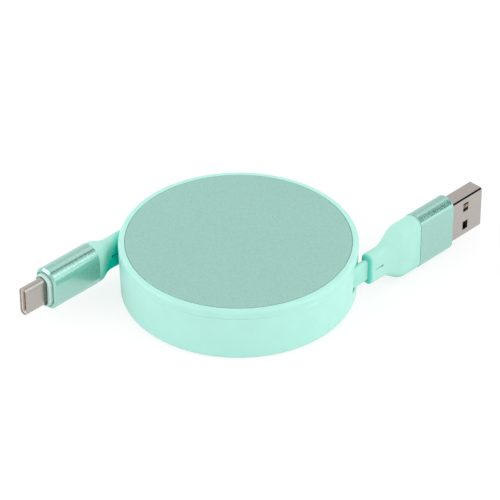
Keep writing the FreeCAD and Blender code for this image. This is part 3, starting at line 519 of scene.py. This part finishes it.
# What makes each finish, its colour and its looks. The first rows are the record's slots, and the
# last are for parts of a piece. Grain is in marks to the millimetre, relief in millimetres.
FINISHES = {
    "case_plastic": (moulding, "case", dict(
        roughness=0.4, grain=7.0, relief=0.004, mottle=0.02, specular=0.9)),
    "cable_jacket": (moulding, "jacket", dict(
        roughness=0.58, grain=8.0, relief=0.006, mottle=0.03, specular=0.3)),
    "nose_plastic": (moulding, "nose", dict(
        roughness=0.45, grain=11.0, relief=0.003, mottle=0.02)),
    "tongue_plastic": (moulding, "tongue", dict(
        roughness=0.5, grain=11.0, relief=0.004, mottle=0.15)),
    "insulator_plastic": (moulding, "insulator", dict(
        roughness=0.5, grain=11.0, relief=0.004, mottle=0.05)),
    "adhesive_film": (moulding, "film", dict(
        roughness=0.35, grain=4.0, relief=0.004, mottle=0.05)),
    "reel_plastic": (moulding, "white", WHITE_LOOKS),
    "inner_plastic": (moulding, "white", WHITE_LOOKS),
    # The CAD boots get the USB-A boot's painted shade at the root.
    "boot_rubber": (moulding, "boot", dict(BOOT_LOOKS, boot="a")),
    "disc_aluminium": (blasted_metal, "disc", dict(
        roughness=0.5, grain=3.0, relief=0.012, contrast=0.11, metallic=0.55)),
    "sleeve_aluminium": (brushed_metal, "sleeve", dict(
        roughness=0.23, stretch=(1, 0.25, 0.25), grain=3.2, relief=0.032, contrast=0.03)),
    "shell_steel": (brushed_metal, "shell", dict(
        roughness=0.3, stretch=(0.15, 1, 1), grain=8.0, relief=0.003, contrast=0.05)),
    "contact_metal": (brushed_metal, "contact", dict(
        roughness=0.28, stretch=(0.2, 1, 1), grain=8.0, relief=0.003, contrast=0.06)),
    "spring_steel": (brushed_metal, "steel", dict(
        roughness=0.34, stretch=(1, 1, 0.2), grain=5.0, relief=0.004, contrast=0.12)),
    "screw_steel": (brushed_metal, "steel", PLAIN_STEEL),
    "ball_steel": (brushed_metal, "steel", PLAIN_STEEL),
    # The modelled boots, each with painted shade at its root by the case.
    "a_boot": (moulding, "boot", dict(BOOT_LOOKS, boot="a")),
    "c_boot": (moulding, "boot", dict(BOOT_LOOKS, boot="c")),
    # Painted shade in the fold's seam, where the sheet's cut edges meet: all faces of the cut are
    # near-black.
    "seam_shadow": (moulding, "seam", dict(
        roughness=0.8, grain=6.0, relief=0.004, mottle=0.2, specular=0.1)),
}


def finish(name):
    """The material of a slot or of a part of a piece, made once."""
    if name not in FINISHES:
        raise ValueError(f"no finish is written for {name}")
    full_name = f"{name}_finish"
    found = bpy.data.materials.get(full_name)
    if found is None:
        make, tone, looks = FINISHES[name]
        found = make(full_name, getattr(bpy.context.scene.cable_colours, tone), **looks)
    return found


class CABLE_OT_frame_finishes(Operator):
    """Give every CAD node the material of its slot"""

    bl_idname = "cable.frame_finishes"
    bl_label = "Finish the frame"

    def execute(self, context):
        for subpart in frame["record"]["subparts"]:
            node = frame["nodes"][subpart["node"]]
            material = finish(subpart["material_slot"])
            for place in node.material_slots:
                place.material = material
        return {"FINISHED"}


class CABLE_OT_leads(Operator):
    """Model the flat cable between the case and each boot, which pays out as its plug is pulled"""

    bl_idname = "cable.leads"
    bl_label = "Leads"

    # From the boot's end: back to where the stretch that pays out starts, inside the case, and on
    # into the boot to where it ends and to where its rings end.
    EXIT_BACK = 6.0
    STRETCH_INTO_BOOT = 1.0
    RINGS_INTO_BOOT = 1.5

    def execute(self, context):
        sizes = context.scene.cable_sizes
        for side, outward in PLUGS:
            node = f"usb_{side}_lead"
            low, high = box_mm(node)
            lead = bar(f"{side}_lead", low, high, mm(sizes.lead_rounding), CABLE_FACETS)
            boot_end = ends(*box_mm(f"usb_{side}_boot"), outward)[0]
            exit_place = boot_end - self.EXIT_BACK * outward
            last_ring = boot_end + self.RINGS_INTO_BOOT * outward
            start_editing(lead)
            for step in range(sizes.lead_steps + 1):
                place = exit_place + (last_ring - exit_place) * step / sizes.lead_steps
                score((place, 0, 0), (1, 0, 0))
            stop_editing()
            settle(lead, None, node, "cable_jacket")
            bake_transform(lead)
        return {"FINISHED"}


class CABLE_OT_boots(Operator):
    """Model the two soft boots: a neck with a rounded lip, a swelling shoulder and a collar"""

    bl_idname = "cable.boots"
    bl_label = "Boots"

    # The neck and the collar have as many facets as each other, and rings bridge the two.
    SECTION_FACETS = 8
    RINGS = 21
    LIP_FACETS = 6
    # Rounding of the collar's end, by the sleeve.
    COLLAR_EDGE = 0.1
    COLLAR_FACETS = 2
    # The cylinder that hollows the end of the USB-C boot.
    SCOOP_FACETS = 360
    SCOOP_DEPTH = 40
    SCOOP_HEIGHT = 8
    # The bore for the lead: its margin round the cable, and its depth.
    BORE_MARGIN = 0.05
    BORE_DEPTH = 7
    # The slit's corners as a share of its height, and the shares of its depth and height that are
    # left at its narrow end.
    SLIT_ROUNDING = 0.49
    SLIT_FACETS = 6
    SLIT_TAPER = (1, 0.1, 0.35)

    def execute(self, context):
        sizes = context.scene.cable_sizes
        for side, outward in PLUGS:
            self.make_boot(sizes, side, outward)
        return {"FINISHED"}

    def make_boot(self, sizes, side, outward):
        node = f"usb_{side}_boot"
        low, high = box_mm(node)
        middle = plug_middle(side)
        start, end = ends(low, high, outward)
        neck_end = start + outward * plug_size(sizes, side, "neck")
        collar_start = neck_end + outward * plug_size(sizes, side, "shoulder")
        inset = box_mm(f"usb_{side}_sleeve")[1].z - high.z
        rounding = plug_size(sizes, side, "rounding") - inset
        boot = section_bar(f"{side}_boot", start, neck_end, middle, mm(sizes.neck_thickness),
                           mm(sizes.neck_height), mm(sizes.neck_rounding), self.SECTION_FACETS)
        collar = section_bar("collar", collar_start, end, middle, high.y - low.y, high.z - low.z,
                             rounding, self.SECTION_FACETS)
        open_end(boot, neck_end)
        open_end(collar, collar_start)
        join(boot, collar)
        start_editing(boot)
        self.swell(neck_end, collar_start)
        if side == "a":
            round_edges(at_x(start), mm(sizes.boot_lip), self.LIP_FACETS)
        round_edges(at_x(end), self.COLLAR_EDGE, self.COLLAR_FACETS)
        stop_editing()
        if side == "c":
            self.cut_scoop(sizes, boot)
        self.cut_bore(sizes, boot, side, start, outward)
        self.cut_slits(sizes, boot, middle, neck_end, outward)
        boot.data.materials.append(finish(f"{side}_boot"))
        settle(boot, f"usb_{side}_plug", node, "boot_rubber")

    def swell(self, neck_end, collar_start):
        """Bridge the neck and the collar, with rings that let the shoulder leave both smoothly."""
        rims = (at_x(neck_end), at_x(collar_start))
        choose("EDGE", lambda edge: edge.is_boundary and any(rim(edge) for rim in rims))
        bpy.ops.mesh.bridge_edge_loops(number_cuts=self.RINGS, interpolation="LINEAR")
        run = collar_start - neck_end
        shares = [ring / (self.RINGS + 1) for ring in range(1, self.RINGS + 1)]
        # The rings by the middle go first, so that no ring lands on one that has still to move.
        for share in sorted(shares, key=lambda share: abs(share - 0.5)):
            place = neck_end + run * share
            choose("VERT", lambda vert: abs(vert.co.x - place) < SAME_PLACE)
            bpy.ops.transform.translate(value=(run * (self.unease(share) - share), 0, 0))

    def unease(self, share):
        """The place between 0 and 1 at which a smooth step reaches a share."""
        return 0.5 - math.sin(math.asin(1 - 2 * share) / 3)

    def cut_scoop(self, sizes, boot):
        """Hollow the boot's end to the curve of the case."""
        radius = box_mm("upper_cover")[1].x + mm(sizes.case_gap)
        cut(boot, add(bpy.ops.mesh.primitive_cylinder_add, vertices=self.SCOOP_FACETS,
                      radius=radius, depth=self.SCOOP_DEPTH, location=(0, 0, self.SCOOP_HEIGHT)))

    def cut_bore(self, sizes, boot, side, start, outward):
        low, high = box_mm(f"usb_{side}_lead")
        margin = Vector((0, self.BORE_MARGIN, self.BORE_MARGIN))
        low, high = low - margin, high + margin
        low.x, high.x = sorted((start - outward * OVERSHOOT, start + outward * self.BORE_DEPTH))
        cut(boot, bar("bore", low, high, mm(sizes.lead_rounding), CABLE_FACETS))

    def cut_slits(self, sizes, boot, middle, neck_end, outward):
        """A wedge on each broad face of the neck, wide and deep at its outer end."""
        depth, height = mm(sizes.slit_depth), mm(sizes.slit_height)
        last = neck_end - outward * mm(sizes.slit_back)
        first = last - outward * mm(sizes.slit_length)
        for face in (-1, 1):
            surface = middle.y + face * mm(sizes.neck_thickness) / 2
            wedge = section_bar("slit", first, last, Vector((0, surface, middle.z)), depth * 2,
                                height, height * self.SLIT_ROUNDING, self.SLIT_FACETS)
            start_editing(wedge)
            choose("FACE", at_x(first))
            bpy.ops.transform.resize(value=self.SLIT_TAPER,
                                     center_override=(first, surface, middle.z))
            stop_editing()
            cut(boot, wedge)


class CABLE_OT_sleeves(Operator):
    """Model the brushed aluminium sleeves with their front edges, openings and rear edges"""

    bl_idname = "cable.sleeves"
    bl_label = "Sleeves"

    SECTION_FACETS = 14
    OPENING_FACETS = 10
    # The USB-A sleeve's front is rounded, the USB-C sleeve's has one plain bevel.
    FRONT_FACETS = {"a": 6, "c": 1}
    REAR_FACETS = 2
    # Open joint between the USB-A sleeve and its shell.
    SHELL_GAP = 0.03

    def execute(self, context):
        sizes = context.scene.cable_sizes
        openings = {"a": self.shell_openings(sizes), "c": self.nose_openings(sizes)}
        for side, outward in PLUGS:
            self.make_sleeve(sizes, side, outward, openings[side])
        return {"FINISHED"}

    def shell_openings(self, sizes):
        """The hole for the shell: two corners, a rounding, and no depth, as it goes through."""
        low, high = box_mm("usb_a_shell")
        gap = Vector((0, self.SHELL_GAP, self.SHELL_GAP))
        return [(low - gap, high + gap, mm(sizes.a_corner), None)]

    def nose_openings(self, sizes):
        """The hole for the nose, and the ledge round it, which has a depth."""
        middle = plug_middle("c")
        openings = []
        for gap, depth in ((mm(sizes.nose_gap), None),
                           (mm(sizes.ledge_width), mm(sizes.ledge_depth))):
            half = Vector((0, mm(sizes.nose_thickness) / 2 + gap, mm(sizes.nose_height) / 2 + gap))
            openings.append((middle - half, middle + half, mm(sizes.nose_corner) + gap, depth))
        return openings

    def make_sleeve(self, sizes, side, outward, openings):
        node = f"usb_{side}_sleeve"
        low, high = box_mm(node)
        rounding = plug_size(sizes, side, "rounding")
        rear, front = ends(low, high, outward)
        sleeve = bar(f"{side}_sleeve", low, high, rounding, self.SECTION_FACETS)
        start_editing(sleeve)
        round_edges(at_x(front), plug_size(sizes, side, "front"), self.FRONT_FACETS[side])
        round_edges(at_x(rear), mm(sizes.rear_edge), self.REAR_FACETS)
        stop_editing()
        wall = mm(sizes.sleeve_wall)
        inner_low, inner_high = low + Vector((0, wall, wall)), high - Vector((0, wall, wall))
        back = front - outward * mm(sizes.front_wall)
        inner_low.x, inner_high.x = sorted((rear - outward * OVERSHOOT, back))
        cut(sleeve, bar("cavity", inner_low, inner_high, rounding - wall, self.SECTION_FACETS))
        for open_low, open_high, open_rounding, depth in openings:
            reach = back - outward * OVERSHOOT if depth is None else front - outward * depth
            open_low.x, open_high.x = sorted((reach, front + outward * OVERSHOOT))
            cut(sleeve, bar("opening", open_low, open_high, open_rounding, self.OPENING_FACETS))
        settle(sleeve, f"usb_{side}_plug", node, "sleeve_aluminium")


class CABLE_OT_shells(Operator):
    """Fold the USB-A shell with its windows and seam, and draw the USB-C shell"""

    bl_idname = "cable.shells"
    bl_label = "Shells"

    A_FACETS = 5
    C_FACETS = 12
    # Cut edges turn by more than this angle, in degrees, and the facets of a corner by less.
    CUT_EDGE_ANGLE = 50
    CUT_EDGE_FACETS = 2
    # Rounding of the tool that sinks the seam.
    RABBET_ROUNDING = 0.05
    RABBET_FACETS = 2

    def execute(self, context):
        sizes = context.scene.cable_sizes
        self.make_a_shell(sizes)
        self.make_c_shell(sizes)
        return {"FINISHED"}

    def make_a_shell(self, sizes):
        low, high = box_mm("usb_a_shell")
        shell = self.tube("a_shell", low, high, mm(sizes.a_corner), self.A_FACETS)
        self.cut_windows(sizes, shell, low, high)
        self.give_gauge(sizes, shell, mm(sizes.a_sheet))
        sleeve_end = box_mm("usb_a_sleeve")[1].x
        rabbet = bar(
            "rabbet",
            Vector((sleeve_end - OVERSHOOT, low.y - OVERSHOOT, high.z - mm(sizes.seam_depth))),
            Vector((high.x + OVERSHOOT, low.y + mm(sizes.seam_width), high.z + OVERSHOOT)),
            self.RABBET_ROUNDING, self.RABBET_FACETS)
        # The seam's cut takes the painted shade of the seam_shadow finish.
        rabbet.data.materials.append(finish("seam_shadow"))
        cut(shell, rabbet)
        settle(shell, "usb_a_plug", "usb_a_shell", "shell_steel")

    def make_c_shell(self, sizes):
        low, high = box_mm("usb_c_shell")
        shell = self.tube("c_shell", low, high, full_round(low, high), self.C_FACETS)
        self.give_gauge(sizes, shell, mm(sizes.c_sheet))
        settle(shell, "usb_c_plug", "usb_c_shell", "shell_steel")

    def tube(self, name, low, high, rounding, facets):
        """The outer face of a shell, open at both ends."""
        shell = bar(name, low, high, rounding, facets)
        for place in (low.x, high.x):
            open_end(shell, place)
        return shell

    def cut_windows(self, sizes, shell, low, high):
        """Two windows, one above the other, through each broad face."""
        middle = (low + high) / 2
        window_x = high.x - mm(sizes.window_back)
        half_long, half_high = mm(sizes.window_long) / 2, mm(sizes.window_high) / 2
        rows = [middle.z + sign * mm(sizes.window_apart) / 2 for sign in (-1, 1)]

        def in_window(face):
            spot = face.calc_center_median()
            broad = abs(face.normal.y) > PARALLEL
            return (broad and abs(spot.x - window_x) < half_long
                    and any(abs(spot.z - row) < half_high for row in rows))

        start_editing(shell)
        for place in (window_x - half_long, window_x + half_long):
            score((place, 0, 0), (1, 0, 0))
        for row in rows:
            for place in (row - half_high, row + half_high):
                score((0, 0, place), (0, 0, 1))
        choose("FACE", in_window)
        bpy.ops.mesh.delete(type="FACE")
        stop_editing()

    def give_gauge(self, sizes, shell, gauge):
        """Thicken a folded sheet inwards and round its cut edges."""
        apply_modifier(shell, "SOLIDIFY", thickness=gauge, offset=-1.0, use_even_offset=True)
        apply_modifier(shell, "BEVEL", width=mm(sizes.sheet_edge), segments=self.CUT_EDGE_FACETS,
                       limit_method="ANGLE", angle_limit=math.radians(self.CUT_EDGE_ANGLE))
        shell.data.materials.append(finish("shell_steel"))


class CABLE_OT_nose(Operator):
    """Model the USB-C plug's nose: a rounded rim round a dished face, and the hole for the shell"""

    bl_idname = "cable.nose"
    bl_label = "Nose"

    SECTION_FACETS = 12
    FRONT_FACETS = 5
    # Width of the slope from the rim down to the dished face.
    DISH_SLOPE = 0.12

    def execute(self, context):
        sizes = context.scene.cable_sizes
        low, high = box_mm("usb_c_nose")
        nose = section_bar("c_nose", low.x, high.x, plug_middle("c"), mm(sizes.nose_thickness),
                           mm(sizes.nose_height), mm(sizes.nose_corner), self.SECTION_FACETS)
        start_editing(nose)
        round_edges(at_x(low.x), mm(sizes.nose_rounding), self.FRONT_FACETS)
        choose("FACE", at_x(low.x))
        bpy.ops.mesh.inset(thickness=mm(sizes.nose_rim), depth=0)
        bpy.ops.mesh.inset(thickness=self.DISH_SLOPE, depth=0)
        bpy.ops.transform.translate(value=(mm(sizes.nose_dish), 0, 0))
        stop_editing()
        shell_low, shell_high = box_mm("usb_c_shell")
        slack = mm(sizes.nose_hole)
        gap = Vector((OVERSHOOT, slack, slack))
        cut(nose, bar("hole", shell_low - gap, shell_high + gap,
                      full_round(shell_low, shell_high) + slack, self.SECTION_FACETS))
        settle(nose, "usb_c_plug", "usb_c_nose", "nose_plastic")
        return {"FINISHED"}


class CABLE_OT_stage(Operator):
    """Set the pale floor, the soft studio lights and the camera"""

    bl_idname = "cable.stage"
    bl_label = "Stage"

    # The camera that was fitted to the photo. Its place and clipping are in metres.
    CAMERA_SPOT = Vector((-0.4633, -0.4666, 0.48905))
    CAMERA_AIM = Vector((0.5728, 0.5717, -0.5874))
    LENS = 224.7
    SENSOR = 36.0
    CLIP_START, CLIP_END = 0.05, 50
    # The floor in metres, a hair below the case's base.
    FLOOR_SIZE = 12
    FLOOR_HEIGHT = -0.0002
    # Shares of the floor's colour: what it scatters and adds where it is seen, so that it is white
    # and keeps a shadow, and what it scatters on to the object.
    SEEN_SCATTER, SEEN_GLOW = 0.28, 0.75
    BOUNCE_SCATTER = 0.85
    # Brightness of the tent at the floor and overhead.
    TENT_LOW, TENT_TOP = 0.88, 0.82
    # Brighter patches of the tent: direction, angles at which a patch is full and gone, and gain.
    GLOWS = (((0.57, -0.72, 0.36), 8, 50, 0.5), ((0.33, -0.66, 0.68), 12, 15, 1.8),
             ((0.2, 0.93, 0.29), 6, 24, 0.6), ((0.55, 0.25, 0.79), 6, 18, 0.27))
    # Dark green cards over the plugs: direction, and the angles at which a card is full and gone.
    CARDS = (((0.68, -0.39, 0.61), 10, 12), ((0.68, -0.5, 0.53), 11, 13),
             ((0.68, -0.59, 0.43), 10, 12), ((0.52, -0.14, 0.84), 5, 9))
    TENT_TONE = (1, 1, 1, 1)
    CARD_TONE = (0.02, 0.15, 0.12, 1)
    # Softboxes that face the case: name, place, width and height in metres, watts, and whether
    # glossy surfaces mirror it.
    SOFTBOXES = (("left_softbox", (-0.75, 0.55, 0.45), 0.9, 0.7, 2.9, True),
                 ("right_softbox", (0.66, -0.72, 0.36), 1.3, 0.62, 2.3, False))

    def execute(self, context):
        self.lay_floor(context)
        self.pitch_tent(context)
        for softbox in self.SOFTBOXES:
            self.set_softbox(*softbox)
        self.place_camera(context)
        context.scene.view_settings.view_transform = "Standard"
        return {"FINISHED"}

    def lay_floor(self, context):
        floor = add(bpy.ops.mesh.primitive_plane_add, size=self.FLOOR_SIZE,
                    location=(0, 0, self.FLOOR_HEIGHT))
        floor.name = "floor"
        tone = context.scene.cable_colours.floor

        def share_of_tone(share):
            return (*(share * channel for channel in tone), 1)

        material, graph = new_graph("studio_floor")
        path = graph.node("ShaderNodeLightPath").outputs
        seen = graph.largest(path["Is Camera Ray"], path["Is Glossy Ray"],
                             path["Is Transmission Ray"])
        paint = graph.node("ShaderNodeBsdfDiffuse", {"Color": share_of_tone(self.SEEN_SCATTER)})
        lift = graph.node("ShaderNodeEmission", {"Color": share_of_tone(1),
                                                 "Strength": self.SEEN_GLOW})
        shown = graph.node("ShaderNodeAddShader", {0: paint.outputs[0], 1: lift.outputs[0]})
        bounce = graph.node("ShaderNodeBsdfDiffuse", {"Color": share_of_tone(self.BOUNCE_SCATTER)})
        both = graph.node("ShaderNodeMixShader", {0: seen, 1: bounce.outputs[0],
                                                  2: shown.outputs[0]})
        graph.node("ShaderNodeOutputMaterial", {"Surface": both.outputs[0]})
        floor.data.materials.append(material)

    def patch(self, graph, look, way, inner, outer):
        """A share of 1 within an angle of a direction, fading to 0 at a wider one."""
        near = graph.node("ShaderNodeVectorMath", {0: look, 1: Vector(way).normalized()},
                          operation="DOT_PRODUCT").outputs["Value"]
        return graph.spread(near, 0.0, 1.0, math.cos(math.radians(outer)),
                            math.cos(math.radians(inner)), interpolation_type="SMOOTHSTEP")

    def pitch_tent(self, context):
        """A pale tent, slightly dimmer overhead, with its brighter patches and dark cards."""
        world = bpy.data.worlds.new("studio")
        world.use_nodes = True
        graph = Graph(world.node_tree)
        look = graph.node("ShaderNodeTexCoord").outputs["Generated"]
        height = graph.node("ShaderNodeSeparateXYZ", {"Vector": look}).outputs["Z"]
        strength = graph.spread(height, self.TENT_LOW, self.TENT_TOP, 0, 1)
        for *glow, gain in self.GLOWS:
            strength = graph.maths("MULTIPLY_ADD", self.patch(graph, look, *glow), gain, strength)
        covered = graph.largest(*(self.patch(graph, look, *card) for card in self.CARDS))
        sky = graph.node("ShaderNodeBackground", {
            "Color": graph.mixture(covered, self.TENT_TONE, self.CARD_TONE), "Strength": strength})
        graph.node("ShaderNodeOutputWorld", {"Surface": sky.outputs[0]})
        context.scene.world = world

    def set_softbox(self, name, spot, width, height, watts, mirrored):
        lamp = add(bpy.ops.object.light_add, type="AREA", location=spot)
        lamp.name = name
        lamp.data.shape = "RECTANGLE"
        lamp.data.size = width
        lamp.data.size_y = height
        lamp.data.energy = watts
        lamp.rotation_euler = (-Vector(spot)).to_track_quat("-Z", "Y").to_euler()
        lamp.visible_glossy = mirrored

    def place_camera(self, context):
        camera = add(bpy.ops.object.camera_add, location=self.CAMERA_SPOT)
        camera.name = "photo_camera"
        camera.rotation_euler = self.CAMERA_AIM.to_track_quat("-Z", "Y").to_euler()
        camera.data.sensor_width = self.SENSOR
        camera.data.lens = self.LENS
        camera.data.clip_start, camera.data.clip_end = self.CLIP_START, self.CLIP_END
        context.scene.camera = camera


class CABLE_PT_sidebar(Panel):
    """Buttons for the pieces and the stage"""

    bl_idname = "CABLE_PT_sidebar"
    bl_label = "Retractable cable"
    bl_space_type = "VIEW_3D"
    bl_region_type = "UI"
    bl_category = "Cable"

    def draw(self, context):
        for operator in OPERATORS:
            self.layout.operator(operator.bl_idname)


OPERATORS = (CABLE_OT_frame_finishes, CABLE_OT_leads, CABLE_OT_boots, CABLE_OT_sleeves,
             CABLE_OT_shells, CABLE_OT_nose, CABLE_OT_stage)
CLASSES = (CableSizes, CableColours, *OPERATORS, CABLE_PT_sidebar)


def register():
    for item in CLASSES:
        bpy.utils.register_class(item)
    bpy.types.Scene.cable_sizes = PointerProperty(type=CableSizes)
    bpy.types.Scene.cable_colours = PointerProperty(type=CableColours)


def unregister():
    del bpy.types.Scene.cable_colours
    del bpy.types.Scene.cable_sizes
    for item in reversed(CLASSES):
        bpy.utils.unregister_class(item)


def main():
    register()
    bpy.ops.cable.frame_finishes()
    bpy.ops.cable.leads()
    bpy.ops.cable.boots()
    bpy.ops.cable.sleeves()
    bpy.ops.cable.shells()
    bpy.ops.cable.nose()
    bpy.ops.cable.stage()


if __name__ == "__main__":
    main()
